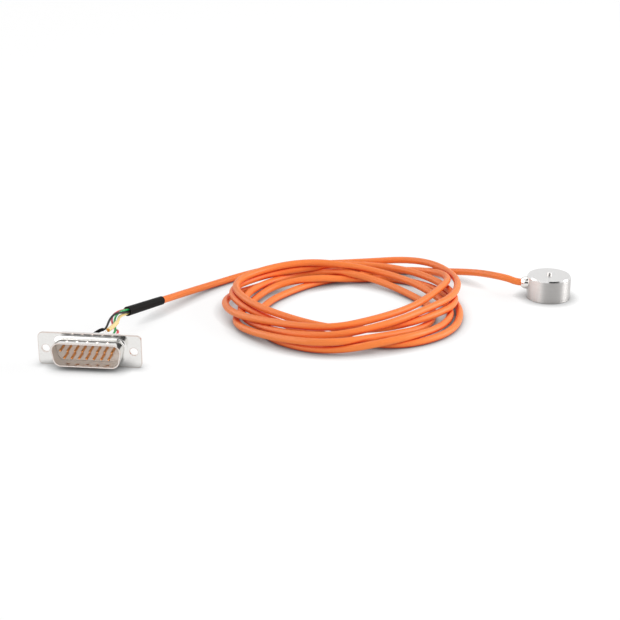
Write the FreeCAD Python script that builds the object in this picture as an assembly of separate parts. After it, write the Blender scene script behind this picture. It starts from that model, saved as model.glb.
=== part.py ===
import FreeCAD
import Part
import math
import os

# Miniature button load cell with its sensor cable and a bare 15-way plug, in millimetres.
# The origin is the centre of the cell's base on the table, +Z is up, the cable leaves the
# cell along -X, and the plug stands on the edge of its flange with its pins towards -Y.

# Cell body, turned from one bar: a cup whose closed top is the measuring diaphragm
CELL_DIAMETER = 18.0
CELL_HEIGHT = 9.7
CELL_TOP_CHAMFER = 0.5
CELL_BASE_CHAMFER = 0.2
BUTTON_DIAMETER = 2.0
BUTTON_HEIGHT = 1.2
BUTTON_CROWN = 0.15
DIAPHRAGM_THICKNESS = 0.9
HUB_DIAMETER = 4.4
HUB_DROP = 0.8
CAVITY_DIAMETER = 13.6
BOARD_SEAT_DIAMETER = 15.2
COVER_DIAMETER = 16.0
COVER_THICKNESS = 1.2
SLIP_CLEARANCE = 0.03

# Strain gauges under the diaphragm and the board that joins them into a bridge
GAUGE_COUNT = 4
GAUGE_LENGTH = 3.0
GAUGE_WIDTH = 2.2
GAUGE_THICKNESS = 0.1
GAUGE_LEAD_DIAMETER = 0.25
GAUGE_LEAD_SPACING = 1.2
BOARD_THICKNESS = 0.8
BOARD_HOLE_DIAMETER = 3.0
BOARD_HEIGHT = 2.2
RESISTOR_LENGTH = 2.0
RESISTOR_WIDTH = 1.25
RESISTOR_THICKNESS = 0.5

# Cable and the domed ferrule that holds it in the side of the cell
CABLE_DIAMETER = 2.9
CABLE_CLEARANCE = 0.05
FERRULE_AXIS_HEIGHT = 6.0
FERRULE_DIAMETER = 5.2
FERRULE_MOUTH_DIAMETER = 3.5
FERRULE_LENGTH = 2.9
FERRULE_COLLAR = 0.7
FERRULE_SEAT_DEPTH = 0.45
FERRULE_SPIGOT_DIAMETER = 3.6
FERRULE_JACKET_DEPTH = 2.0
GROMMET_DIAMETER = 2.5
CORE_DIAMETER = 0.6
CORE_PITCH = 0.85
CORE_BEND_RADIUS = 1.0

# Loose coil of the cable, lying flat on the table
COIL_CENTRE_X = -84.5
COIL_CENTRE_Y = -22.0
COIL_OUTER_RADIUS = 50.0
COIL_INNER_RADIUS = 32.0
COIL_HEIGHT = 9.4
COIL_EDGE = 3.0

# Route of the cable from the ferrule to the coil, after its straight run out of the ferrule
CELL_LEAD_OUT = 1.6
CELL_LEAD_POINTS = [
    (-16.6, 0.5, 7.2),
    (-20.2, 1.9, 7.5),
    (-24.8, 5.2, 7.1),
    (-29.2, 9.8, 6.0),
    (-35.8, 15.4, 4.2),
    (-43.8, 20.0, 2.4),
    (-53.0, 22.3, 1.5),
    (-64.0, 22.0, 1.5),
]

# Route of the cable from the coil to the heat-shrink sleeve, before its straight run through it
PLUG_LEAD_OUT = 8.0
PLUG_LEAD_POINTS = [
    (-108.7, 20.0, 3.0),
    (-120.5, 14.6, 2.3),
    (-131.0, 6.6, 1.6),
    (-139.4, -3.2, 1.5),
    (-146.2, -14.4, 2.5),
]

# Heat-shrink sleeve over the end of the jacket
SLEEVE_CABLE_END = (-156.5, -36.1, 5.2)
SLEEVE_WIRE_END = (-165.8, -56.7, 7.9)
SLEEVE_CABLE_END_DIAMETER = 3.5
SLEEVE_WIRE_END_DIAMETER = 3.8
SLEEVE_BORE_AT_WIRES = 3.1
JACKET_SETBACK = 5.0

# Four insulated wires: place in the bundle (sideways, up) and route to the plug's cups
WIRE_DIAMETER = 0.85
YELLOW_WIRE_DIAMETER = 1.15
TINNED_DIAMETER = 0.5
TINNED_SHOW = 0.8
CUP_APPROACH = 2.2
TINNED_STRAIGHT = 0.9
RED_PLACE = (-0.60, 0.60)
GREEN_PLACE = (0.35, 0.80)
BLACK_PLACE = (0.80, -0.20)
YELLOW_PLACE = (-0.15, -0.90)
RED_POINTS = [
    (-168.5, -59.0, 8.8),
    (-170.1, -62.6, 8.5),
    (-169.7, -67.0, 7.9),
    (-167.3, -71.4, 6.0),
    (-165.2, -74.2, 6.6),
    (-164.9, -77.6, 6.8),
]
GREEN_POINTS = [
    (-167.4, -60.0, 9.3),
    (-168.6, -63.4, 8.7),
    (-168.2, -68.6, 8.0),
    (-166.3, -74.2, 6.9),
    (-166.5, -78.0, 6.3),
]
BLACK_POINTS = [
    (-166.8, -61.3, 9.1),
    (-167.9, -65.0, 10.3),
    (-169.0, -68.4, 10.2),
    (-169.4, -71.8, 9.5),
    (-169.4, -74.8, 8.7),
    (-169.6, -77.2, 8.3),
    (-170.9, -79.0, 8.7),
]
YELLOW_POINTS = [
    (-167.0, -60.5, 7.7),
    (-167.1, -64.6, 8.5),
    (-166.4, -69.0, 8.8),
    (-166.5, -73.2, 8.8),
]
YELLOW_END = (-168.0, -78.9, 8.7)
YELLOW_CORE_SHIFT = (-0.25, 0.0, -0.2)
YELLOW_SLEEVE_DIAMETER = 1.65
YELLOW_SLEEVE_EDGES = 3
BLACK_SLEEVE_DIAMETER = 1.3
BLACK_SLEEVE_EDGES = 5
WIRE_SLEEVE_CLEARANCE = 0.05

# Plug: two drawn tin-plated shells, a two-part insulator and fifteen turned contacts
PLUG_X = -171.6
PLUG_Y = -93.2
FLANGE_WIDTH = 39.14
FLANGE_HEIGHT = 12.55
FLANGE_CORNER_RADIUS = 1.8
FLANGE_HOLE_DIAMETER = 3.05
FLANGE_HOLE_SPACING = 33.32
SHEET = 0.5
SHROUD_WIDTH = 25.25
SHROUD_HEIGHT = 8.36
SHROUD_CORNER_RADIUS = 2.6
SHROUD_SLANT_DEG = 10.0
SHROUD_DEPTH = 5.9
SHROUD_ROOT_RADIUS = 1.0
SHROUD_REAR_RADIUS = 0.5
DIMPLE_COUNT = 5
DIMPLE_PITCH = 3.8
DIMPLE_SETBACK = 2.1
DIMPLE_DEPTH = 0.3
DIMPLE_RADIUS = 0.9
REAR_SHELL_GROWTH = 0.85
REAR_SHELL_DEPTH = 3.6
REAR_SHELL_ROOT_RADIUS = 0.4
REAR_LIP = 0.5
INSULATOR_CLEARANCE = 0.05
INSULATOR_FACE = 0.4
INSULATOR_SPLIT = 2.4
INSULATOR_REAR = 5.4
PIN_DIAMETER = 1.0
PIN_PITCH = 2.77
PIN_ROW_SPACING = 2.84
PIN_REACH = 5.4
PIN_NOSE_DIAMETER = 0.5
PIN_NOSE_LENGTH = 0.4
PIN_COLLAR_DIAMETER = 1.5
PIN_COLLAR_LENGTH = 1.0
PIN_CLEARANCE = 0.05
UPPER_ROW_COUNT = 8
LOWER_ROW_COUNT = 7
CUP_DIAMETER = 1.6
CUP_BORE = 1.1
CUP_LENGTH = 4.0
CUP_BORE_DEPTH = 3.0
CUP_WINDOW = 1.8

# Cups that the wires are soldered into, counted from the left of each row, seen from the front
BLACK_CUP = ("upper", 3)
YELLOW_CUP = ("upper", 4)
GREEN_CUP = ("lower", 4)
RED_CUP = ("lower", 5)

# Places worked out from the sizes above
CELL_RADIUS = CELL_DIAMETER / 2
DIAPHRAGM_UNDERSIDE = CELL_HEIGHT - DIAPHRAGM_THICKNESS
BOARD_TOP = BOARD_HEIGHT + BOARD_THICKNESS
FERRULE_SEAT_X = -(CELL_RADIUS - FERRULE_SEAT_DEPTH)
FERRULE_MOUTH_X = FERRULE_SEAT_X - FERRULE_LENGTH
JACKET_END_X = FERRULE_MOUTH_X + FERRULE_JACKET_DEPTH
GROMMET_END_X = FERRULE_SPIGOT_DIAMETER / 2 - CAVITY_DIAMETER / 2
PLUG_Z = FLANGE_HEIGHT / 2
SHELL_JOINT = SHEET
REAR_INSULATOR_SHOULDER = SHELL_JOINT + REAR_SHELL_DEPTH - SHEET
CUP_END = INSULATOR_REAR + CUP_LENGTH
SIDE_TILT = math.radians(SHROUD_SLANT_DEG)
ROW_Z = {"upper": PIN_ROW_SPACING / 2, "lower": -PIN_ROW_SPACING / 2}
ROW_COUNT = {"upper": UPPER_ROW_COUNT, "lower": LOWER_ROW_COUNT}

X_AXIS = FreeCAD.Vector(1, 0, 0)
Y_AXIS = FreeCAD.Vector(0, 1, 0)
Z_AXIS = FreeCAD.Vector(0, 0, 1)
PLUG_ORIGIN = FreeCAD.Vector(PLUG_X, PLUG_Y, PLUG_Z)


# Shared shape helpers

def vec(x, y, z):
    return FreeCAD.Vector(x, y, z)


def save(shape, node):
    shape.exportStep("parts/" + node + ".step")


def closed_wire(start, *steps):
    # A step is a point for a straight edge, or a pair (via, end) for an arc.
    edges = []
    here = start
    for step in steps:
        if isinstance(step, FreeCAD.Vector):
            edges.append(Part.LineSegment(here, step).toShape())
            here = step
        else:
            via, end = step
            edges.append(Part.Arc(here, via, end).toShape())
            here = end
    if here.distanceToPoint(start) > 1e-6:
        edges.append(Part.LineSegment(here, start).toShape())
    return Part.Wire(edges)


def turned(base, direction, start, *steps):
    # A profile of (radius, distance along the axis) points, revolved about the axis.
    def at(point):
        return vec(point[0], 0, point[1])

    placed = []
    for step in steps:
        if isinstance(step[0], tuple):
            placed.append((at(step[0]), at(step[1])))
        else:
            placed.append(at(step))
    face = Part.Face(closed_wire(at(start), *placed))
    solid = face.revolve(vec(0, 0, 0), Z_AXIS, 360)
    solid.Placement = FreeCAD.Placement(base, FreeCAD.Rotation(Z_AXIS, direction))
    return solid


def rod(base, direction, radius, length):
    return Part.makeCylinder(radius, length, base, direction)


def block(length, width, height, centre):
    corner = vec(centre.x - length / 2, centre.y - width / 2, centre.z - height / 2)
    return Part.makeBox(length, width, height, corner)


def route_wire(points, name):
    # Straight runs joined by tangent arcs, each as large as its two runs allow.
    edges = []
    radii = []
    here = points[0]
    for before, corner, after in zip(points, points[1:], points[2:]):
        back = before - corner
        ahead = after - corner
        shorter = min(back.Length, ahead.Length)
        back.normalize()
        ahead.normalize()
        turn = math.pi - back.getAngle(ahead)
        setback = 0.45 * shorter
        radii.append(setback / math.tan(turn / 2))
        first = corner + back * setback
        last = corner + ahead * setback
        inward = back + ahead
        inward.normalize()
        centre_distance = math.hypot(radii[-1], setback)
        middle = corner + inward * (centre_distance - radii[-1])
        edges.append(Part.LineSegment(here, first).toShape())
        edges.append(Part.Arc(first, middle, last).toShape())
        here = last
    edges.append(Part.LineSegment(here, points[-1]).toShape())
    print(name, "arc radii", [round(r, 1) for r in radii])
    return Part.Wire(edges)


def tube(path, diameter, name):
    first = path.OrderedEdges[0]
    start = first.valueAt(first.FirstParameter)
    ring = Part.Wire(Part.makeCircle(diameter / 2, start, first.tangentAt(first.FirstParameter)))
    solid = path.makePipeShell([ring], True, False)
    expected = math.pi * diameter ** 2 / 4 * path.Length
    print(name, "length", round(path.Length, 1), "volume ratio", round(solid.Volume / expected, 4))
    return solid


def end_of(path, edge_count):
    return Part.Wire(path.OrderedEdges[-edge_count:])


# Load cell

def make_cell_body():
    cover_radius = COVER_DIAMETER / 2
    seat_radius = BOARD_SEAT_DIAMETER / 2
    cavity_radius = CAVITY_DIAMETER / 2
    hub_radius = HUB_DIAMETER / 2
    button_radius = BUTTON_DIAMETER / 2
    button_edge = CELL_HEIGHT + BUTTON_HEIGHT - BUTTON_CROWN
    crown_radius = (button_radius ** 2 + BUTTON_CROWN ** 2) / (2 * BUTTON_CROWN)
    crown_half = math.asin(button_radius / crown_radius) / 2
    crown_fall = crown_radius * (1 - math.cos(crown_half))
    crown_via = (crown_radius * math.sin(crown_half), CELL_HEIGHT + BUTTON_HEIGHT - crown_fall)
    body = turned(
        vec(0, 0, 0), Z_AXIS,
        (cover_radius, 0),
        (CELL_RADIUS - CELL_BASE_CHAMFER, 0),
        (CELL_RADIUS, CELL_BASE_CHAMFER),
        (CELL_RADIUS, CELL_HEIGHT - CELL_TOP_CHAMFER),
        (CELL_RADIUS - CELL_TOP_CHAMFER, CELL_HEIGHT),
        (button_radius, CELL_HEIGHT),
        (button_radius, button_edge),
        (crown_via, (0, CELL_HEIGHT + BUTTON_HEIGHT)),
        (0, DIAPHRAGM_UNDERSIDE - HUB_DROP),
        (hub_radius, DIAPHRAGM_UNDERSIDE - HUB_DROP),
        (hub_radius, DIAPHRAGM_UNDERSIDE),
        (cavity_radius, DIAPHRAGM_UNDERSIDE),
        (cavity_radius, BOARD_TOP),
        (seat_radius, BOARD_TOP),
        (seat_radius, COVER_THICKNESS),
        (cover_radius, COVER_THICKNESS),
    )
    axis_point = vec(-CELL_RADIUS - 1, 0, FERRULE_AXIS_HEIGHT)
    spot_face = rod(axis_point, X_AXIS, FERRULE_DIAMETER / 2 + SLIP_CLEARANCE, FERRULE_SEAT_X - axis_point.x)
    bore = rod(axis_point, X_AXIS, FERRULE_SPIGOT_DIAMETER / 2, GROMMET_END_X - axis_point.x)
    return body.cut(spot_face).cut(bore)


def make_base_cover():
    radius = COVER_DIAMETER / 2 - SLIP_CLEARANCE
    return turned(
        vec(0, 0, 0), Z_AXIS,
        (0, 0),
        (radius - CELL_BASE_CHAMFER, 0),
        (radius, CELL_BASE_CHAMFER),
        (radius, COVER_THICKNESS),
        (0, COVER_THICKNESS),
    )


def gauge_places():
    # Gauges sit in the middle of the thin ring between hub and wall, between the axes.
    radius = (HUB_DIAMETER + CAVITY_DIAMETER) / 4
    for index in range(GAUGE_COUNT):
        angle = 360 / GAUGE_COUNT * (index + 0.5)
        yield radius, angle


def make_strain_gauge(radius, angle):
    middle = DIAPHRAGM_UNDERSIDE - GAUGE_THICKNESS / 2
    gauge = block(GAUGE_LENGTH, GAUGE_WIDTH, GAUGE_THICKNESS, vec(radius, 0, middle))
    gauge.rotate(vec(0, 0, 0), Z_AXIS, angle)
    return gauge


def make_gauge_leads():
    leads = []
    length = DIAPHRAGM_UNDERSIDE - GAUGE_THICKNESS - BOARD_TOP
    for radius, angle in gauge_places():
        for side in (-0.5, 0.5):
            foot = vec(radius, side * GAUGE_LEAD_SPACING, BOARD_TOP)
            lead = rod(foot, Z_AXIS, GAUGE_LEAD_DIAMETER / 2, length)
            lead.rotate(vec(0, 0, 0), Z_AXIS, angle)
            leads.append(lead)
    return Part.makeCompound(leads)


def make_terminal_board():
    radius = BOARD_SEAT_DIAMETER / 2 - SLIP_CLEARANCE
    hole = BOARD_HOLE_DIAMETER / 2
    return turned(
        vec(0, 0, 0), Z_AXIS,
        (hole, BOARD_HEIGHT),
        (radius, BOARD_HEIGHT),
        (radius, BOARD_TOP),
        (hole, BOARD_TOP),
    )


def make_trim_resistors():
    middle = BOARD_TOP + RESISTOR_THICKNESS / 2
    place = (BOARD_HOLE_DIAMETER + CAVITY_DIAMETER) / 4
    chips = []
    for side in (-1, 1):
        centre = vec(0, side * place, middle)
        chips.append(block(RESISTOR_LENGTH, RESISTOR_WIDTH, RESISTOR_THICKNESS, centre))
    return Part.makeCompound(chips)


def make_cable_ferrule():
    # Distance runs outwards from the seat: collar, dome, mouth, then back through the bores.
    collar_radius = FERRULE_DIAMETER / 2
    mouth_radius = FERRULE_MOUTH_DIAMETER / 2
    spigot_radius = FERRULE_SPIGOT_DIAMETER / 2 - SLIP_CLEARANCE
    spigot_end = FERRULE_SEAT_X - GROMMET_END_X
    jacket_radius = CABLE_DIAMETER / 2 + CABLE_CLEARANCE
    grommet_radius = GROMMET_DIAMETER / 2
    step = FERRULE_SEAT_X - JACKET_END_X
    dome_rise = FERRULE_LENGTH - FERRULE_COLLAR
    dome_fall = collar_radius - mouth_radius
    dome_via = (mouth_radius + dome_fall * 0.76, FERRULE_COLLAR + dome_rise * 0.55)
    return turned(
        vec(FERRULE_SEAT_X, 0, FERRULE_AXIS_HEIGHT), -X_AXIS,
        (grommet_radius, spigot_end),
        (spigot_radius, spigot_end),
        (spigot_radius, 0),
        (collar_radius, 0),
        (collar_radius, FERRULE_COLLAR),
        (dome_via, (mouth_radius, FERRULE_LENGTH)),
        (jacket_radius, FERRULE_LENGTH),
        (jacket_radius, step),
        (grommet_radius, step),
    )


def core_places():
    half = CORE_PITCH / 2
    return {"red": (half, half), "green": (-half, half), "black": (half, -half), "yellow": (-half, -half)}


def make_core_grommet():
    length = GROMMET_END_X - JACKET_END_X
    start = vec(JACKET_END_X, 0, FERRULE_AXIS_HEIGHT)
    grommet = rod(start, X_AXIS, GROMMET_DIAMETER / 2 - SLIP_CLEARANCE, length)
    for side, rise in core_places().values():
        hole = start + vec(0, side, rise)
        grommet = grommet.cut(rod(hole, X_AXIS, CORE_DIAMETER / 2 + SLIP_CLEARANCE, length))
    return grommet


def make_core_tail(side, rise):
    # From the end of the jacket through the grommet, then down to a pad on the board.
    z = FERRULE_AXIS_HEIGHT + rise
    pad_x = GROMMET_END_X + 2 * CORE_BEND_RADIUS + rise
    bend_x = pad_x - CORE_BEND_RADIUS
    sag = CORE_BEND_RADIUS * (1 - math.sqrt(0.5))
    start = vec(JACKET_END_X, side, z)
    bend_start = vec(bend_x, side, z)
    bend_via = vec(pad_x - sag, side, z - sag)
    bend_end = vec(pad_x, side, z - CORE_BEND_RADIUS)
    pad = vec(pad_x, side, BOARD_TOP)
    path = Part.Wire([
        Part.LineSegment(start, bend_start).toShape(),
        Part.Arc(bend_start, bend_via, bend_end).toShape(),
        Part.LineSegment(bend_end, pad).toShape(),
    ])
    ring = Part.Wire(Part.makeCircle(CORE_DIAMETER / 2, start, X_AXIS))
    return path.makePipeShell([ring], True, False)


# Cable, its coil and its leads

def make_cable_coil():
    # A flat ring that the loose turns fill, with its edges taken off.
    inner = COIL_INNER_RADIUS
    outer = COIL_OUTER_RADIUS
    low = CABLE_DIAMETER / 2
    top = COIL_HEIGHT
    return turned(
        vec(COIL_CENTRE_X, COIL_CENTRE_Y, 0), Z_AXIS,
        (inner + low, 0),
        (outer - low, 0),
        (outer, low),
        (outer, top - COIL_EDGE),
        (outer - COIL_EDGE, top),
        (inner + COIL_EDGE, top),
        (inner, top - COIL_EDGE),
        (inner, low),
    )


def make_cell_lead(coil):
    start = vec(JACKET_END_X, 0, FERRULE_AXIS_HEIGHT)
    lead_out = vec(FERRULE_MOUTH_X - CELL_LEAD_OUT, 0, FERRULE_AXIS_HEIGHT)
    points = [start, lead_out] + [vec(*point) for point in CELL_LEAD_POINTS]
    path = route_wire(points, "cable_lead_cell")
    return tube(path, CABLE_DIAMETER, "cable_lead_cell").cut(coil)


def sleeve_axis():
    cable_end = vec(*SLEEVE_CABLE_END)
    wire_end = vec(*SLEEVE_WIRE_END)
    along = wire_end - cable_end
    length = along.Length
    along.normalize()
    return cable_end, along, length


def jacket_end():
    along = sleeve_axis()[1]
    return vec(*SLEEVE_WIRE_END) - along * JACKET_SETBACK


def make_plug_lead(coil):
    cable_end, along, length = sleeve_axis()
    lead_out = cable_end - along * PLUG_LEAD_OUT
    points = [vec(*point) for point in PLUG_LEAD_POINTS] + [lead_out, jacket_end()]
    path = route_wire(points, "cable_lead_plug")
    return tube(path, CABLE_DIAMETER, "cable_lead_plug").cut(coil)


def make_heat_shrink_sleeve():
    cable_end, along, length = sleeve_axis()
    jacket_bore = CABLE_DIAMETER / 2 + CABLE_CLEARANCE
    wire_bore = SLEEVE_BORE_AT_WIRES / 2
    step = length - JACKET_SETBACK
    return turned(
        cable_end, along,
        (jacket_bore, 0),
        (SLEEVE_CABLE_END_DIAMETER / 2, 0),
        (SLEEVE_WIRE_END_DIAMETER / 2, length),
        (wire_bore, length),
        (wire_bore, step),
        (jacket_bore, step),
    )


# Wires from the sleeve to the plug

def bundle_points(place):
    # A wire starts on the end face of the jacket and runs straight to the sleeve's mouth.
    along = sleeve_axis()[1]
    side = vec(-along.y, along.x, 0)
    side.normalize()
    up = along.cross(side)
    start = jacket_end() + side * place[0] + up * place[1]
    return [start, start + along * JACKET_SETBACK]


def cup_axis_point(cup, distance):
    row, index = cup
    x = (index - (ROW_COUNT[row] - 1) / 2) * PIN_PITCH
    return PLUG_ORIGIN + vec(x, distance, ROW_Z[row])


def wire_path(place, points, cup, name):
    insulation_end = CUP_END + TINNED_SHOW
    arrival = [cup_axis_point(cup, insulation_end + CUP_APPROACH), cup_axis_point(cup, insulation_end)]
    return route_wire(bundle_points(place) + [vec(*point) for point in points] + arrival, name)


def yellow_path():
    points = bundle_points(YELLOW_PLACE) + [vec(*point) for point in YELLOW_POINTS + [YELLOW_END]]
    return route_wire(points, "wire_yellow")


def make_tinned_ends():
    ends = []
    bottom = CUP_END - CUP_BORE_DEPTH
    for cup in (BLACK_CUP, GREEN_CUP, RED_CUP):
        length = CUP_END + TINNED_SHOW - bottom
        ends.append(rod(cup_axis_point(cup, bottom), Y_AXIS, TINNED_DIAMETER / 2, length))
    insulation_end = vec(*YELLOW_END) + vec(*YELLOW_CORE_SHIFT)
    onward = vec(*YELLOW_END) - vec(*YELLOW_POINTS[-1])
    onward.normalize()
    straight = insulation_end + onward * TINNED_STRAIGHT
    mouth = cup_axis_point(YELLOW_CUP, CUP_END + TINNED_SHOW)
    floor = cup_axis_point(YELLOW_CUP, bottom)
    path = route_wire([insulation_end, straight, mouth, floor], "yellow tinned end")
    ends.append(tube(path, TINNED_DIAMETER, "yellow tinned end"))
    return Part.makeCompound(ends)


def wire_sleeve(path, sleeve_diameter, wire_diameter, name):
    outer = tube(path, sleeve_diameter, name)
    bore = tube(path, wire_diameter + 2 * WIRE_SLEEVE_CLEARANCE, name + " bore")
    return outer.cut(bore)


# Plug shapes, in the plug's own frame: X along the flange, Y from the pins to the cups

def d_wire(growth, y):
    # The outline is wrapped round four corner circles, two wide above and two narrow below.
    radius = SHROUD_CORNER_RADIUS + growth
    high = SHROUD_HEIGHT / 2 - SHROUD_CORNER_RADIUS
    wide = SHROUD_WIDTH / 2 - SHROUD_CORNER_RADIUS
    narrow = wide - 2 * high * math.tan(SIDE_TILT)

    def corner(x, z, angle):
        return vec(x + radius * math.cos(angle), y, z + radius * math.sin(angle))

    quarter = math.pi / 2
    upper_middle = (quarter - SIDE_TILT) / 2
    lower_middle = -(quarter + SIDE_TILT) / 2
    return closed_wire(
        corner(-wide, high, quarter),
        corner(wide, high, quarter),
        (corner(wide, high, upper_middle), corner(wide, high, -SIDE_TILT)),
        corner(narrow, -high, -SIDE_TILT),
        (corner(narrow, -high, lower_middle), corner(narrow, -high, -quarter)),
        corner(-narrow, -high, -quarter),
        (corner(-narrow, -high, math.pi - lower_middle), corner(-narrow, -high, math.pi + SIDE_TILT)),
        corner(-wide, high, math.pi + SIDE_TILT),
        (corner(-wide, high, math.pi - upper_middle), corner(-wide, high, quarter)),
    )


def d_prism(growth, start, end):
    return Part.Face(d_wire(growth, start)).extrude(vec(0, end - start, 0))


def flange_plate(start, end):
    plate = block(FLANGE_WIDTH, end - start, FLANGE_HEIGHT, vec(0, (start + end) / 2, 0))
    corners = []
    for edge in plate.Edges:
        if edge.BoundBox.YLength > (end - start) / 2:
            corners.append(edge)
    plate = plate.makeFillet(FLANGE_CORNER_RADIUS, corners)
    for side in (-1, 1):
        centre = vec(side * FLANGE_HOLE_SPACING / 2, start, 0)
        plate = plate.cut(rod(centre, Y_AXIS, FLANGE_HOLE_DIAMETER / 2, end - start))
    return plate


def edges_at(shape, y):
    # Edges of a D outline in the plane at y, which lie between the flange's two holes.
    reach = FLANGE_HOLE_SPACING / 2 - FLANGE_HOLE_DIAMETER
    found = []
    for edge in shape.Edges:
        box = edge.BoundBox
        flat = abs(box.YMin - y) < 1e-5 and abs(box.YMax - y) < 1e-5
        if flat and max(abs(box.XMin), abs(box.XMax)) < reach and box.ZLength < FLANGE_HEIGHT * 0.9:
            found.append(edge)
    return found


def in_plug_place(shape):
    shape.translate(PLUG_ORIGIN)
    return shape


def dimple_places():
    for index in range(DIMPLE_COUNT):
        yield (index - (DIMPLE_COUNT - 1) / 2) * DIMPLE_PITCH


def make_front_shell():
    shell = flange_plate(0, SHEET).fuse(d_prism(SHEET, -SHROUD_DEPTH, SHEET)).removeSplitter()
    shell = shell.makeFillet(SHROUD_ROOT_RADIUS, edges_at(shell, 0))
    shell = shell.cut(d_prism(0, -SHROUD_DEPTH, SHEET))
    shell = shell.makeFillet(SHROUD_REAR_RADIUS, edges_at(shell, SHEET))
    y = DIMPLE_SETBACK - SHROUD_DEPTH
    for side in (-1, 1):
        inside = side * SHROUD_HEIGHT / 2
        outside = side * (SHROUD_HEIGHT / 2 + SHEET)
        for x in dimple_places():
            centre = vec(x, y, outside + side * (DIMPLE_RADIUS - DIMPLE_DEPTH))
            bulge = Part.makeSphere(DIMPLE_RADIUS + SHEET, centre)
            depth = DIMPLE_DEPTH + SHEET
            cap = bulge.common(block(4 * DIMPLE_RADIUS, 4 * DIMPLE_RADIUS, depth, vec(x, y, inside)))
            shell = shell.fuse(cap).cut(Part.makeSphere(DIMPLE_RADIUS, centre))
    return in_plug_place(shell)


def make_rear_shell():
    back = SHELL_JOINT + REAR_SHELL_DEPTH
    outer = REAR_SHELL_GROWTH + SHEET
    shell = flange_plate(SHELL_JOINT, SHELL_JOINT + SHEET)
    shell = shell.fuse(d_prism(outer, SHELL_JOINT, back)).removeSplitter()
    shell = shell.makeFillet(REAR_SHELL_ROOT_RADIUS, edges_at(shell, SHELL_JOINT + SHEET))
    shell = shell.makeFillet(SHEET, edges_at(shell, back))
    shell = shell.cut(d_prism(REAR_SHELL_GROWTH, SHELL_JOINT, REAR_INSULATOR_SHOULDER))
    shell = shell.cut(d_prism(REAR_SHELL_GROWTH - REAR_LIP, SHELL_JOINT, back))
    return in_plug_place(shell)


def contact_axes():
    for row in ("upper", "lower"):
        for index in range(ROW_COUNT[row]):
            x = (index - (ROW_COUNT[row] - 1) / 2) * PIN_PITCH
            yield row, vec(x, 0, ROW_Z[row])


def make_front_insulator():
    body = d_prism(-INSULATOR_CLEARANCE, -INSULATOR_FACE, SHELL_JOINT)
    body = body.fuse(d_prism(REAR_SHELL_GROWTH - INSULATOR_CLEARANCE, SHELL_JOINT, INSULATOR_SPLIT))
    pin_hole = PIN_DIAMETER / 2 + PIN_CLEARANCE
    for row, axis in contact_axes():
        start = axis - Y_AXIS * INSULATOR_FACE
        body = body.cut(rod(start, Y_AXIS, pin_hole, INSULATOR_FACE + INSULATOR_SPLIT))
    return in_plug_place(body.removeSplitter())


def make_rear_insulator():
    body = d_prism(REAR_SHELL_GROWTH - INSULATOR_CLEARANCE, INSULATOR_SPLIT, REAR_INSULATOR_SHOULDER)
    neck = REAR_SHELL_GROWTH - REAR_LIP - INSULATOR_CLEARANCE
    body = body.fuse(d_prism(neck, REAR_INSULATOR_SHOULDER, INSULATOR_REAR))
    pin_hole = PIN_DIAMETER / 2 + PIN_CLEARANCE
    collar_hole = PIN_COLLAR_DIAMETER / 2 + PIN_CLEARANCE
    for row, axis in contact_axes():
        start = axis + Y_AXIS * INSULATOR_SPLIT
        body = body.cut(rod(start, Y_AXIS, pin_hole, INSULATOR_REAR - INSULATOR_SPLIT))
        body = body.cut(rod(start, Y_AXIS, collar_hole, PIN_COLLAR_LENGTH))
    return in_plug_place(body.removeSplitter())


def make_contact(row, axis):
    # Bevel-nosed pin with a collar held between the insulators, and a cup open at its end.
    radius = PIN_DIAMETER / 2
    collar_end = INSULATOR_SPLIT + PIN_COLLAR_LENGTH
    contact = turned(
        axis, Y_AXIS,
        (0, -PIN_REACH),
        (PIN_NOSE_DIAMETER / 2, -PIN_REACH),
        (radius, PIN_NOSE_LENGTH - PIN_REACH),
        (radius, INSULATOR_SPLIT),
        (PIN_COLLAR_DIAMETER / 2, INSULATOR_SPLIT),
        (PIN_COLLAR_DIAMETER / 2, collar_end),
        (radius, collar_end),
        (radius, INSULATOR_REAR),
        (CUP_DIAMETER / 2, INSULATOR_REAR),
        (CUP_DIAMETER / 2, CUP_END),
        (CUP_BORE / 2, CUP_END),
        (CUP_BORE / 2, CUP_END - CUP_BORE_DEPTH),
        (0, CUP_END - CUP_BORE_DEPTH),
    )
    outward = math.copysign(CUP_DIAMETER / 2, ROW_Z[row])
    window_centre = axis + vec(0, CUP_END - CUP_WINDOW / 2, outward)
    contact = contact.cut(block(2 * CUP_DIAMETER, CUP_WINDOW, CUP_DIAMETER, window_centre))
    return in_plug_place(contact)


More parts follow.
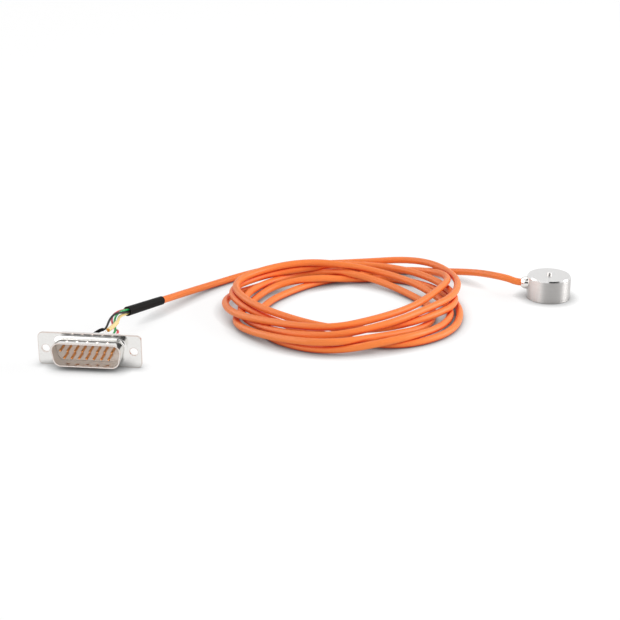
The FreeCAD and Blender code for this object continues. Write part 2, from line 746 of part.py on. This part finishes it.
def main():
    os.makedirs("parts", exist_ok=True)

    save(make_cell_body(), "cell_body")
    save(make_base_cover(), "base_cover")
    for number, (radius, angle) in enumerate(gauge_places(), 1):
        save(make_strain_gauge(radius, angle), "strain_gauge_%d" % number)
    save(make_gauge_leads(), "gauge_leads")
    save(make_terminal_board(), "terminal_board")
    save(make_trim_resistors(), "trim_resistors")
    save(make_cable_ferrule(), "cable_ferrule")
    save(make_core_grommet(), "core_grommet")
    for colour, (side, rise) in core_places().items():
        save(make_core_tail(side, rise), "core_tail_" + colour)

    coil = make_cable_coil()
    save(coil, "cable_coil")
    save(make_cell_lead(coil), "cable_lead_cell")
    save(make_plug_lead(coil), "cable_lead_plug")
    save(make_heat_shrink_sleeve(), "heat_shrink_sleeve")

    red = wire_path(RED_PLACE, RED_POINTS, RED_CUP, "wire_red")
    green = wire_path(GREEN_PLACE, GREEN_POINTS, GREEN_CUP, "wire_green")
    black = wire_path(BLACK_PLACE, BLACK_POINTS, BLACK_CUP, "wire_black")
    yellow = yellow_path()
    save(tube(red, WIRE_DIAMETER, "wire_red"), "wire_red")
    save(tube(green, WIRE_DIAMETER, "wire_green"), "wire_green")
    save(tube(black, WIRE_DIAMETER, "wire_black"), "wire_black")
    save(tube(yellow, YELLOW_WIRE_DIAMETER, "wire_yellow"), "wire_yellow")
    yellow_end = end_of(yellow, YELLOW_SLEEVE_EDGES)
    black_end = end_of(black, BLACK_SLEEVE_EDGES)
    save(wire_sleeve(yellow_end, YELLOW_SLEEVE_DIAMETER, YELLOW_WIRE_DIAMETER, "yellow sleeve"), "yellow_wire_sleeve")
    save(wire_sleeve(black_end, BLACK_SLEEVE_DIAMETER, WIRE_DIAMETER, "black sleeve"), "black_wire_sleeve")
    save(make_tinned_ends(), "tinned_ends")

    save(make_front_shell(), "front_shell")
    save(make_rear_shell(), "rear_shell")
    save(make_front_insulator(), "front_insulator")
    save(make_rear_insulator(), "rear_insulator")
    for number, (row, axis) in enumerate(contact_axes(), 1):
        save(make_contact(row, axis), "contact_%02d" % number)


main()
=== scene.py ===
import math
import bpy
import numpy as np
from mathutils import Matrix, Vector


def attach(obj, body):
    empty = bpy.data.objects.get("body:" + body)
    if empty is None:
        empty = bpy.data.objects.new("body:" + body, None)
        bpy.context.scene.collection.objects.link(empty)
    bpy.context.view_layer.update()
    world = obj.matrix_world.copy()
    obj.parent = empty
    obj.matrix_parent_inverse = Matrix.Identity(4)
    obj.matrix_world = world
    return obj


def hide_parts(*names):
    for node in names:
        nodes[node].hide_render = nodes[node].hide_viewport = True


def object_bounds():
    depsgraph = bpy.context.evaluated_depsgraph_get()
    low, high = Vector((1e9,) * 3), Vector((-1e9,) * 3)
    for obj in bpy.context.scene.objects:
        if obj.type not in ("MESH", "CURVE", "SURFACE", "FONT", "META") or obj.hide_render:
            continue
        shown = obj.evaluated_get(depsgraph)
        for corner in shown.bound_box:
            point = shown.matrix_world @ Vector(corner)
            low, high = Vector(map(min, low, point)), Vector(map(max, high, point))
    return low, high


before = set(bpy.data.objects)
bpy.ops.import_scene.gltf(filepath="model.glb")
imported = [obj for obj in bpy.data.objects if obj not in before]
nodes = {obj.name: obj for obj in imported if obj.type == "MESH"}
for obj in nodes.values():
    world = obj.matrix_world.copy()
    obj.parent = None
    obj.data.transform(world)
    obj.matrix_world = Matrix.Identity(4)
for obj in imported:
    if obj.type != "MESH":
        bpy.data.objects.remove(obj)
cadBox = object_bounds()
scene = bpy.context.scene
mm = 0.001  # in metres
print("frame loaded:", len(nodes), "nodes")


# Helpers

# sRGB hex to the linear values a shader socket takes: a straight line near black, a power curve above
def linear(hexColour):
    srgb = np.array([int(hexColour[i:i + 2], 16) for i in (1, 3, 5)]) / 255
    values = np.where(srgb <= 0.04045, srgb / 12.92, ((srgb + 0.055) / 1.055) ** 2.4)
    return (*values.tolist(), 1.0)


# one node with its settings, the values of its sockets and its incoming links
def addNode(tree, kind, values=None, links=None, **settings):
    node = tree.nodes.new(kind)
    for name, value in settings.items():
        setattr(node, name, value)
    for socket, value in (values or {}).items():
        node.inputs[socket].default_value = value
    for socket, source in (links or {}).items():
        tree.links.new(source, node.inputs[socket])
    return node


def newMaterial(name):
    material = bpy.data.materials.new(name)
    material.use_nodes = True
    return material, material.node_tree, material.node_tree.nodes["Principled BSDF"]


# Camera at the photograph's viewing angle

shot = {
    "place": (-32.3, -594.5, 219.3),  # mm
    "aim": (-0.1132, 0.9936),  # level direction of the look
    "down": 20.99,  # degrees below level
    "lens": 87.1,
    "sensor": 36.0,
    "nearest": 10.0,  # mm, closer than this nothing shows
}


def addCamera(shot):
    camera = bpy.data.objects.new("camera", bpy.data.cameras.new("camera"))
    camera.data.lens = shot["lens"]
    camera.data.sensor_width = shot["sensor"]
    camera.location = Vector(shot["place"]) * mm
    level = Vector((*shot["aim"], 0)).normalized()
    tilt = math.radians(shot["down"])
    look = level * math.cos(tilt) - Vector((0, 0, math.sin(tilt)))
    camera.rotation_euler = look.to_track_quat("-Z", "Y").to_euler()
    camera.data.clip_start = shot["nearest"] * mm
    scene.collection.objects.link(camera)
    scene.camera = camera


addCamera(shot)
print("camera placed")


# Orange sensor cable: one spline from the ferrule through six loose turns to the plug's sleeve

cable = {
    "diameter": 2.9,  # mm, as are the places below
    "length": 1.74,  # m, from end to end
    "exit": (-11.45, 0.0, 6.0),  # the ferrule's mouth
    "sides": 6,  # bevel resolution round the jacket
    "stretches": 10,  # steps between two points of the spline
    # from the jacket's end in the ferrule to the coil, on the CAD's route
    "cellLead": [(-9.45, 0.0, 6.0), (-13.05, 0.0, 6.0), (-16.6, 0.5, 7.2), (-20.2, 1.9, 7.5),
                 (-24.8, 5.2, 7.1), (-29.2, 9.8, 6.0), (-35.8, 15.4, 4.2), (-43.8, 20.0, 2.4),
                 (-53.0, 22.3, 1.5), (-64.0, 22.0, 1.5)],
    # from the coil to the jacket's end in the heat-shrink sleeve
    "plugLead": [(-108.7, 20.0, 3.0), (-120.5, 14.6, 2.3), (-131.0, 6.6, 1.6), (-139.4, -3.2, 1.5),
                 (-146.2, -14.4, 2.5), (-153.23, -28.86, 4.25), (-163.76, -52.17, 7.31)],
    "coilMiddle": (-84.5, -23.5),
    "stations": 12,  # places round each turn
    # each turn's reach from the middle and its height, at every station clockwise from the back;
    # the turn that leads to the plug comes first, and the last point leads to the cell
    "turns": [
        [(46.5, 3.3), (59.0, 4.8), (52.4, 6.4), (45.0, 7.6), (37.2, 7.5), (39.1, 7.4),
         (45.2, 6.1), (44.2, 4.5), (43.4, 3.2), (38.4, 5.0), (35.8, 3.8), (38.2, 2.8)],
        [(29.8, 5.1), (29.3, 2.7), (30.3, 1.6), (37.4, 1.5), (40.6, 1.5), (41.0, 3.8),
         (51.4, 5.9), (48.4, 3.8), (47.2, 1.5), (36.0, 1.5), (33.0, 3.0), (25.6, 4.8)],
        [(29.8, 1.6), (39.4, 1.5), (44.8, 1.5), (48.0, 1.5), (51.2, 1.5), (48.1, 1.5),
         (35.2, 2.3), (31.4, 1.7), (41.0, 6.5), (45.7, 6.4), (39.2, 5.8), (33.6, 6.6)],
        [(40.4, 4.9), (43.6, 4.8), (45.0, 4.7), (46.9, 4.7), (39.6, 5.1), (35.8, 4.2),
         (33.6, 4.8), (34.0, 6.8), (40.0, 9.1), (44.0, 9.3), (38.8, 8.8), (33.6, 9.4)],
        [(31.8, 7.4), (34.2, 4.8), (35.6, 4.5), (44.6, 1.5), (46.9, 2.8), (48.4, 4.8),
         (49.6, 1.6), (46.0, 1.5), (37.0, 1.5), (29.5, 1.5), (25.7, 1.5), (27.5, 1.5)],
        [(34.0, 1.5), (50.4, 2.6), (50.4, 7.0), (36.2, 8.0), (32.8, 8.1), (33.5, 8.1),
         (41.8, 8.1), (42.4, 7.4), (47.2, 5.5), (47.4, 3.0), (38.2, 1.8), (41.0, 1.5)],
        [(44.5, 1.5)],
    ],
}


# each turn point stands at its bearing, outside its reach by one over the cosine of half a station
def turnPoints(cable):
    reach, height = np.array([pair for turn in cable["turns"] for pair in turn]).T
    step = 2 * math.pi / cable["stations"]
    bearing = np.arange(len(reach)) * step
    out = reach / math.cos(step / 2)
    x = cable["coilMiddle"][0] + out * np.sin(bearing)
    y = cable["coilMiddle"][1] + out * np.cos(bearing)
    return np.stack([x, y, height], 1)


# a round cord on one open NURBS spline through the route's points
def nurbsCord(name, points, cable):
    curve = bpy.data.curves.new(name, "CURVE")
    curve.dimensions = "3D"
    curve.bevel_depth = 1.0  # times each point's radius, which keeps the curve's box right
    curve.bevel_resolution = cable["sides"]
    curve.resolution_u = cable["stretches"]
    curve.use_fill_caps = True
    spline = curve.splines.new("NURBS")
    spline.points.add(len(points) - 1)
    places = np.c_[np.array(points) * mm, np.ones(len(points))]
    spline.points.foreach_set("co", places.ravel())
    spline.points.foreach_set("radius", np.full(len(points), cable["diameter"] / 2 * mm))
    spline.order_u = 3  # set after the points
    spline.use_endpoint_u = True
    cord = bpy.data.objects.new(name, curve)
    scene.collection.objects.link(cord)
    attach(cord, "root")
    return cord


cableRoute = [*cable["cellLead"], *turnPoints(cable)[::-1].tolist(), *cable["plugLead"]]
sensorCable = nurbsCord("sensor_cable", cableRoute, cable)
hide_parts("cable_coil", "cable_lead_cell", "cable_lead_plug")
print("cable laid:", len(cableRoute), "points")


# Finishes

noise = {
    "span": (0.3, 0.7),  # most of a noise's values lie between these
    "grainDetail": 4.0,
    "markDetail": 2.0,
    "bump": 0.5,
}
mapEnds = ("From Min", "From Max", "To Min", "To Max")  # sockets of Map Range, in this order


# two tones mixed by a fine noise, which also moves the roughness and raises a slight grain
def mottled(look):
    material, tree, shader = newMaterial(look["name"])
    place = addNode(tree, "ShaderNodeTexCoord")
    grain = addNode(tree, "ShaderNodeTexNoise",
                    {"Scale": 1 / (look["grain"] * mm), "Detail": noise["grainDetail"]},
                    {"Vector": place.outputs["Object"]})
    darker, paler = map(linear, look["tones"])
    tone = addNode(tree, "ShaderNodeMix", {"A": darker, "B": paler},
                   {"Factor": grain.outputs["Fac"]}, data_type="RGBA")
    gloss = addNode(tree, "ShaderNodeMapRange", dict(zip(mapEnds, (*noise["span"], *look["roughness"]))),
                    {"Value": grain.outputs["Fac"]})
    relief = addNode(tree, "ShaderNodeBump", {"Strength": noise["bump"], "Distance": look["relief"] * mm},
                     {"Height": grain.outputs["Fac"]})
    tree.links.new(tone.outputs["Result"], shader.inputs["Base Color"])
    tree.links.new(gloss.outputs["Result"], shader.inputs["Roughness"])
    tree.links.new(relief.outputs["Normal"], shader.inputs["Normal"])
    shader.inputs["Metallic"].default_value = look.get("metallic", 0.0)
    shader.inputs["Specular IOR Level"].default_value = look.get("specular", 0.5)
    return material, tree, shader, tone


# tool marks: a noise read by distance from the axis and by height alone, so lines run round the side;
# faces that look up are worked smooth, a chamfer more than a flat top, and the side keeps its marks
# faces that look up also take a paler tone, which is painted light on the top
def turned(look):
    material, tree, shader = newMaterial(look["name"])
    place = addNode(tree, "ShaderNodeTexCoord")
    level = addNode(tree, "ShaderNodeVectorMath", {1: (1, 1, 0)}, {0: place.outputs["Object"]},
                    operation="MULTIPLY")
    fromAxis = addNode(tree, "ShaderNodeVectorMath", None, {0: level.outputs["Vector"]}, operation="LENGTH")
    axes = addNode(tree, "ShaderNodeSeparateXYZ", None, {"Vector": place.outputs["Object"]})
    ring = addNode(tree, "ShaderNodeCombineXYZ", None,
                   {"X": fromAxis.outputs["Value"], "Z": axes.outputs["Z"]})
    marks = addNode(tree, "ShaderNodeTexNoise",
                    {"Scale": 1 / (look["feed"] * mm), "Detail": noise["markDetail"]},
                    {"Vector": ring.outputs["Vector"]})
    darker, paler = map(linear, look["tones"])
    streak = addNode(tree, "ShaderNodeMix", {"A": darker, "B": paler},
                     {"Factor": marks.outputs["Fac"]}, data_type="RGBA")
    marked = addNode(tree, "ShaderNodeMapRange", dict(zip(mapEnds, (*noise["span"], *look["roughness"]))),
                     {"Value": marks.outputs["Fac"]})
    facing = addNode(tree, "ShaderNodeNewGeometry")
    facingAxes = addNode(tree, "ShaderNodeSeparateXYZ", None, {"Vector": facing.outputs["Normal"]})
    upward = addNode(tree, "ShaderNodeMapRange", dict(zip(mapEnds, look["upward"])),
                     {"Value": facingAxes.outputs["Z"]})
    smooth = addNode(tree, "ShaderNodeMapRange",
                     dict(zip(mapEnds, (*look["flat"], look["polished"], look["lapped"]))),
                     {"Value": facingAxes.outputs["Z"]})
    # painted light: faces that look up take the paler top tone
    tone = addNode(tree, "ShaderNodeMix", {"B": linear(look["paintedTopLightTone"])},
                   {"Factor": upward.outputs["Result"], "A": streak.outputs["Result"]},
                   data_type="RGBA")
    gloss = addNode(tree, "ShaderNodeMix", None,
                    {"Factor": upward.outputs["Result"], "A": marked.outputs["Result"],
                     "B": smooth.outputs["Result"]}, data_type="FLOAT")
    across = addNode(tree, "ShaderNodeCombineXYZ", dict(zip("XYZ", look["across"])))
    tree.links.new(tone.outputs["Result"], shader.inputs["Base Color"])
    tree.links.new(gloss.outputs["Result"], shader.inputs["Roughness"])
    tree.links.new(across.outputs["Vector"], shader.inputs["Tangent"])
    shader.inputs["Metallic"].default_value = 1.0
    shader.inputs["Anisotropic"].default_value = look["anisotropic"]
    return material


# bare edges: where a rounded normal leaves the true one the plating is thin and the warm metal shows
def wornEdges(look):
    material, tree, shader, tone = mottled(look)
    rounded = addNode(tree, "ShaderNodeBevel", {"Radius": look["edge"] * mm}, samples=4)
    sharp = addNode(tree, "ShaderNodeNewGeometry")
    along = addNode(tree, "ShaderNodeVectorMath", None,
                    {0: rounded.outputs["Normal"], 1: sharp.outputs["Normal"]}, operation="DOT_PRODUCT")
    bare = addNode(tree, "ShaderNodeMapRange", dict(zip(mapEnds, (*look["wear"], 0.0, look["bareMost"]))),
                   {"Value": along.outputs["Value"]})
    worn = addNode(tree, "ShaderNodeMix", {"B": linear(look["bare"])},
                   {"Factor": bare.outputs["Result"], "A": tone.outputs["Result"]}, data_type="RGBA")
    tree.links.new(worn.outputs["Result"], shader.inputs["Base Color"])
    return material


# painted shade: the jacket's colour turns a deeper red where another surface is close by, as in the creases
# between turns
def paintedCreviceShade(look):
    material, tree, shader, tone = mottled(look)
    room = addNode(tree, "ShaderNodeAmbientOcclusion", {"Distance": look["creviceShadeReach"] * mm}, samples=6)
    free = addNode(tree, "ShaderNodeMapRange", dict(zip(mapEnds, look["creviceShadeRoom"])),
                   {"Value": room.outputs["AO"]})
    # painted shade: the deep red is mixed in where the surroundings are closed
    deep = addNode(tree, "ShaderNodeMix", {"A": linear(look["creviceShadeColour"])},
                   {"Factor": free.outputs["Result"], "B": tone.outputs["Result"]}, data_type="RGBA")
    tree.links.new(deep.outputs["Result"], shader.inputs["Base Color"])
    return material


# pale along its run, with the strong colour of the cut within a short way of the sleeve's mouth
def cutEnd(look):
    material, tree, shader, tone = mottled(look)
    place = addNode(tree, "ShaderNodeTexCoord")
    away = addNode(tree, "ShaderNodeVectorMath", {1: [part * mm for part in look["cutAt"]]},
                   {0: place.outputs["Object"]}, operation="DISTANCE")
    fades, full = [reach * mm for reach in look["cutReach"]]
    near = addNode(tree, "ShaderNodeMapRange", dict(zip(mapEnds, (fades, full))),
                   {"Value": away.outputs["Value"]})
    ended = addNode(tree, "ShaderNodeMix", {"B": linear(look["cut"])},
                    {"Factor": near.outputs["Result"], "A": tone.outputs["Result"]}, data_type="RGBA")
    tree.links.new(ended.outputs["Result"], shader.inputs["Base Color"])
    return material


# grain, feed, relief, edge and the reaches are in mm; a skin's real grain is under 0.1 mm and a real feed
# about 0.05, so both are drawn this coarse to show; roughness goes from the noise's low end to its high
looks = {
    # extruded polyurethane: even orange, a soft satin line of light on top,
    # painted deep red shade where turns touch; the last pair of values is how open the surroundings are
    # where the painted red shade is full and where it ends
    "orange_jacket": {"name": "polyurethane_jacket_extruded", "tones": ("#f67f38", "#fa8b45"), "grain": 0.9,
                      "roughness": (0.36, 0.46), "relief": 0.02, "specular": 0.3,
                      "creviceShadeColour": "#da3414", "creviceShadeReach": 2.2, "creviceShadeRoom": (0.3, 0.9)},
    # solder-dipped tin over drawn steel: pale and slightly wavy, with warm lines at its cut edges;
    # wear is the cosine between the rounded and the sharp normal where the bare metal begins and is full
    "tin_plate": {"name": "tin_plate_on_drawn_steel", "tones": ("#e2e0dd", "#efeeec"), "grain": 0.7,
                  "roughness": (0.08, 0.15), "relief": 0.006, "metallic": 1.0,
                  "edge": 0.35, "bare": "#b07c58", "wear": (0.99, 0.88), "bareMost": 0.9},
    # turned stainless bar: fine lines round the side that draw light out into upright bands;
    # upward and flat are the normal's height where smooth work begins and where the top counts as flat,
    # and across is the way the light is drawn out, tipped a little so that it has a direction on top too
    # from upward on, the top also takes a paler tone, which is painted light
    "stainless_steel": {"name": "stainless_steel_turned", "tones": ("#adaaa8", "#d1cfcd"), "feed": 0.14,
                        "roughness": (0.36, 0.46), "polished": 0.13, "lapped": 0.29,
                        "paintedTopLightTone": "#e4e3e2", "upward": (0.2, 0.5), "flat": (0.8, 0.95),
                        "anisotropic": 0.85, "across": (0.0, 0.05, 1.0)},
    # polished nickel: a clear mirror that shows the room as small light and dark spots
    "nickel_plate": {"name": "nickel_plate_polished", "tones": ("#dedad6", "#ebe8e5"), "grain": 0.6,
                     "roughness": (0.05, 0.1), "relief": 0.002, "metallic": 1.0},
    # thin gold over brass: warm copper-like pins with a bright side
    "gold_plate": {"name": "gold_flash_on_brass", "tones": ("#e09a5a", "#efb06e"), "grain": 0.4,
                   "roughness": (0.18, 0.28), "relief": 0.002, "metallic": 1.0},
    # copper dipped in solder: dull silver, uneven
    "tinned_copper": {"name": "solder_tinned_copper", "tones": ("#bdb9b2", "#d6d3cd"), "grain": 0.25,
                      "roughness": (0.22, 0.4), "relief": 0.01, "metallic": 1.0},
    # moulded glass-filled polyester: pale beige grey with a fine speckle
    "insulator_plastic": {"name": "polyester_insulator_moulded", "tones": ("#e2d8cf", "#ece4dc"),
                          "grain": 0.3, "roughness": (0.42, 0.55), "relief": 0.008},
    # shrunk polyolefin: near black, softly shining, with slight waves over what it grips
    "heat_shrink": {"name": "polyolefin_tube_shrunk", "tones": ("#0c0b0b", "#151413"), "grain": 0.8,
                    "roughness": (0.48, 0.6), "relief": 0.05, "specular": 0.1},
    # extruded wire covers: clear strong colours with a thin line of light
    "red_insulation": {"name": "red_wire_cover_extruded", "tones": ("#d2263c", "#e0364a"), "grain": 0.5,
                       "roughness": (0.3, 0.4), "relief": 0.006},
    "green_insulation": {"name": "green_wire_cover_extruded", "tones": ("#1ba655", "#2eb867"),
                         "grain": 0.5, "roughness": (0.3, 0.4), "relief": 0.006},
    "black_insulation": {"name": "black_wire_cover_extruded", "tones": ("#161515", "#201f1f"),
                         "grain": 0.5, "roughness": (0.3, 0.4), "relief": 0.006, "specular": 0.3},
    # natural yellow cover: pale along its run, orange yellow where it is cut inside the sleeve
    "yellow_insulation": {"name": "yellow_wire_cover_extruded", "tones": ("#eecf84", "#f4da98"),
                          "grain": 0.5, "roughness": (0.3, 0.4), "relief": 0.006,
                          "cut": "#f09c10", "cutAt": (-168.0, -78.9, 8.7), "cutReach": (2.4, 2.0)},
    # natural cream tube: waxy and pale
    "cream_sleeve": {"name": "cream_sleeve_extruded", "tones": ("#f5d98f", "#f9e4aa"), "grain": 0.5,
                     "roughness": (0.34, 0.46), "relief": 0.006},
    # cast potting rubber: dull black
    "grommet_rubber": {"name": "potting_rubber_cast", "tones": ("#222120", "#2d2b2a"), "grain": 0.4,
                       "roughness": (0.55, 0.7), "relief": 0.01},
    # laminated polyimide: amber film
    "gauge_film": {"name": "polyimide_film_laminated", "tones": ("#c98a2a", "#d79b3d"), "grain": 0.3,
                   "roughness": (0.25, 0.35), "relief": 0.002},
    # masked glass epoxy: green, faintly woven
    "board_laminate": {"name": "glass_epoxy_board_masked", "tones": ("#1a5a30", "#237040"), "grain": 0.3,
                       "roughness": (0.3, 0.42), "relief": 0.004},
    # glazed chip: black, glossy
    "resistor_ceramic": {"name": "chip_resistor_glazed", "tones": ("#17181a", "#232427"), "grain": 0.2,
                         "roughness": (0.3, 0.45), "relief": 0.002},
}


def finish(look):  # the finish that a look's own values ask for
    if "feed" in look:
        return turned(look)
    if "edge" in look:
        return wornEdges(look)
    if "cut" in look:
        return cutEnd(look)
    # a look with a painted red crease shade
    if "creviceShadeColour" in look:
        return paintedCreviceShade(look)
    return mottled(look)[0]


finishes = {slot: finish(look) for slot, look in looks.items()}
for node in nodes.values():
    for place in node.material_slots:
        place.material = finishes[place.material.name]
sensorCable.data.materials.append(finishes["orange_jacket"])
print("finishes assigned:", len(finishes))


# Studio: pale floor, white surroundings, soft lamps

studio = {
    "floorSize": 6.0,  # m
    "floorColour": "#8e8e8e",
    "floorGlow": 0.78,  # makes the paper white where the camera or a mirror sees it
    "contact": 5.5,  # mm, how far the shade under the object reaches
    "contactDepth": 1.5,  # above one, the shade is darker close in
    "bounce": 0.7,  # part of the glow that lights the undersides, as white paper does
    "ambient": 0.41,  # the surroundings' even light
    # what mirrors see: middle, half width and edge of the room's dark part, in degrees from the front
    "darkSide": (15.0, 45.0, 10.0),
    "darkLean": 0.42,  # how far the dark part moves to the right with height
    "darkLevel": 0.06,
    "panel": (28.0, 52.0, 5.0),  # foot, head and edge of a white panel before it, degrees above level
    "suns": [
        {"name": "keySun", "from": (-0.25, 0.34, 0.91), "strength": 0.55, "spread": 35.0},
        {"name": "fillSun", "from": (0.1, -0.81, 0.57), "strength": 1.05, "spread": 60.0,
         "mirrored": False},
    ],
    "boxes": [
        {"name": "rightBox", "place": (0.59, 0.10, 0.25), "size": (0.40, 0.40), "power": 3.2},
        {"name": "leftBox", "place": (-0.52, -0.10, 0.25), "size": (0.90, 0.50), "power": 3.4,
         "lighting": False},
    ],
    "aim": (-0.05, 0.0, 0.0),
}


# one for rays that show the background: straight to the camera, mirrored or through glass
def shownRays(tree):
    path = addNode(tree, "ShaderNodeLightPath")
    mirrored = addNode(tree, "ShaderNodeMath", None,
                       {0: path.outputs["Is Camera Ray"], 1: path.outputs["Is Glossy Ray"]},
                       operation="MAXIMUM")
    return addNode(tree, "ShaderNodeMath", None,
                   {0: mirrored.outputs[0], 1: path.outputs["Is Transmission Ray"]}, operation="MAXIMUM")


# a flat sheet at the object's foot; its glow fades by the open share of its surroundings near the object,
# which paints a contact shadow
def addFloor(studio):
    half = studio["floorSize"] / 2
    mesh = bpy.data.meshes.new("floor")
    low = cadBox[0][2]
    corners = [(-half, -half, low), (half, -half, low), (half, half, low), (-half, half, low)]
    mesh.from_pydata(corners, [], [(0, 1, 2, 3)])
    floor = bpy.data.objects.new("floor", mesh)
    scene.collection.objects.link(floor)
    material, tree, shader = newMaterial("paper_sweep")
    shader.inputs["Base Color"].default_value = linear(studio["floorColour"])
    shader.inputs["Roughness"].default_value = 1.0
    shader.inputs["Specular IOR Level"].default_value = 0.0
    shader.inputs["Emission Color"].default_value = (1, 1, 1, 1)
    shade = addNode(tree, "ShaderNodeAmbientOcclusion", {"Distance": studio["contact"] * mm}, samples=8)
    deep = addNode(tree, "ShaderNodeMath", {1: studio["contactDepth"]}, {0: shade.outputs["AO"]},
                   operation="POWER")
    # painted contact shadow: the glow is dimmed where the surroundings are closed
    lit = addNode(tree, "ShaderNodeMath", {1: studio["floorGlow"]}, {0: deep.outputs[0]},
                  operation="MULTIPLY")
    share = addNode(tree, "ShaderNodeMath", {1: studio["bounce"]}, {0: shownRays(tree).outputs[0]},
                    operation="MAXIMUM")
    glow = addNode(tree, "ShaderNodeMath", None, {0: lit.outputs[0], 1: share.outputs[0]},
                   operation="MULTIPLY")
    tree.links.new(glow.outputs[0], shader.inputs["Emission Strength"])
    mesh.materials.append(material)


def addSun(sun):
    light = bpy.data.lights.new(sun["name"], "SUN")
    light.energy = sun["strength"]
    light.angle = math.radians(sun["spread"])
    holder = bpy.data.objects.new(sun["name"], light)
    holder.rotation_euler = Vector(sun["from"]).to_track_quat("Z", "Y").to_euler()
    holder.visible_glossy = sun.get("mirrored", True)  # the fill brightens without a spot of its own
    scene.collection.objects.link(holder)


def addBox(box, aim):
    light = bpy.data.lights.new(box["name"], "AREA")
    light.shape = "RECTANGLE"
    light.size, light.size_y = box["size"]
    light.energy = box["power"]
    holder = bpy.data.objects.new(box["name"], light)
    holder.location = box["place"]
    holder.visible_diffuse = box.get("lighting", True)  # a reflector only shows in metal and on gloss
    holder.rotation_euler = (Vector(aim) - Vector(box["place"])).to_track_quat("-Z", "Y").to_euler()
    scene.collection.objects.link(holder)


# white to the camera and an even fill to the object; mirrors see a white room with a dark part in front,
# which leans to the right with height, and a white panel that hangs before it
def addWorld(studio):
    world = bpy.data.worlds.new("surroundings")
    world.use_nodes = True
    scene.world = world
    tree = world.node_tree
    room = tree.nodes["Background"]
    room.inputs["Color"].default_value = (1, 1, 1, 1)
    place = addNode(tree, "ShaderNodeTexCoord")
    axes = addNode(tree, "ShaderNodeSeparateXYZ", None, {"Vector": place.outputs["Generated"]})
    front = addNode(tree, "ShaderNodeMath", {1: -1.0}, {0: axes.outputs["Y"]}, operation="MULTIPLY")
    bearing = addNode(tree, "ShaderNodeMath", None, {0: axes.outputs["X"], 1: front.outputs[0]},
                      operation="ARCTAN2")
    height = addNode(tree, "ShaderNodeMath", None, {0: axes.outputs["Z"]}, operation="ARCSINE")
    middle, half, edge = [math.radians(value) for value in studio["darkSide"]]
    leaning = addNode(tree, "ShaderNodeMath", {1: studio["darkLean"], 2: middle}, {0: height.outputs[0]},
                      operation="MULTIPLY_ADD")
    aside = addNode(tree, "ShaderNodeMath", None, {0: bearing.outputs[0], 1: leaning.outputs[0]},
                    operation="SUBTRACT")
    away = addNode(tree, "ShaderNodeMath", None, {0: aside.outputs[0]}, operation="ABSOLUTE")
    sides = addNode(tree, "ShaderNodeMapRange", dict(zip(mapEnds, (half - edge, half + edge))),
                    {"Value": away.outputs[0]}, interpolation_type="SMOOTHSTEP")
    foot, head, rim = [math.radians(value) for value in studio["panel"]]
    halfPanel = (head - foot) / 2
    fromMiddle = addNode(tree, "ShaderNodeMath", {1: (foot + head) / 2}, {0: height.outputs[0]},
                         operation="SUBTRACT")
    offPanel = addNode(tree, "ShaderNodeMath", None, {0: fromMiddle.outputs[0]}, operation="ABSOLUTE")
    panel = addNode(tree, "ShaderNodeMapRange",
                    dict(zip(mapEnds, (halfPanel + rim / 2, halfPanel - rim / 2))),
                    {"Value": offPanel.outputs[0]}, interpolation_type="SMOOTHSTEP")
    whitePart = addNode(tree, "ShaderNodeMath", None,
                        {0: sides.outputs["Result"], 1: panel.outputs["Result"]}, operation="MAXIMUM")
    mirrorLevel = addNode(tree, "ShaderNodeMapRange", {"To Min": studio["darkLevel"], "To Max": 1.0},
                          {"Value": whitePart.outputs[0]})
    path = addNode(tree, "ShaderNodeLightPath")
    level = addNode(tree, "ShaderNodeMix", {"A": studio["ambient"]},
                    {"Factor": path.outputs["Is Glossy Ray"], "B": mirrorLevel.outputs["Result"]},
                    data_type="FLOAT")
    tree.links.new(level.outputs["Result"], room.inputs["Strength"])
    white = addNode(tree, "ShaderNodeBackground", {"Color": (1, 1, 1, 1), "Strength": 1.0})
    seen = addNode(tree, "ShaderNodeMath", None,
                   {0: path.outputs["Is Camera Ray"], 1: path.outputs["Is Transmission Ray"]},
                   operation="MAXIMUM")
    mix = addNode(tree, "ShaderNodeMixShader", None,
                  {0: seen.outputs[0], 1: room.outputs[0], 2: white.outputs[0]})
    tree.links.new(mix.outputs[0], tree.nodes["World Output"].inputs["Surface"])


addFloor(studio)
for sun in studio["suns"]:
    addSun(sun)
for box in studio["boxes"]:
    addBox(box, studio["aim"])
addWorld(studio)
scene.view_settings.view_transform = "Standard"
print("studio lit:", len(studio["suns"]), "suns and", len(studio["boxes"]), "soft boxes")

bpy.context.view_layer.update()
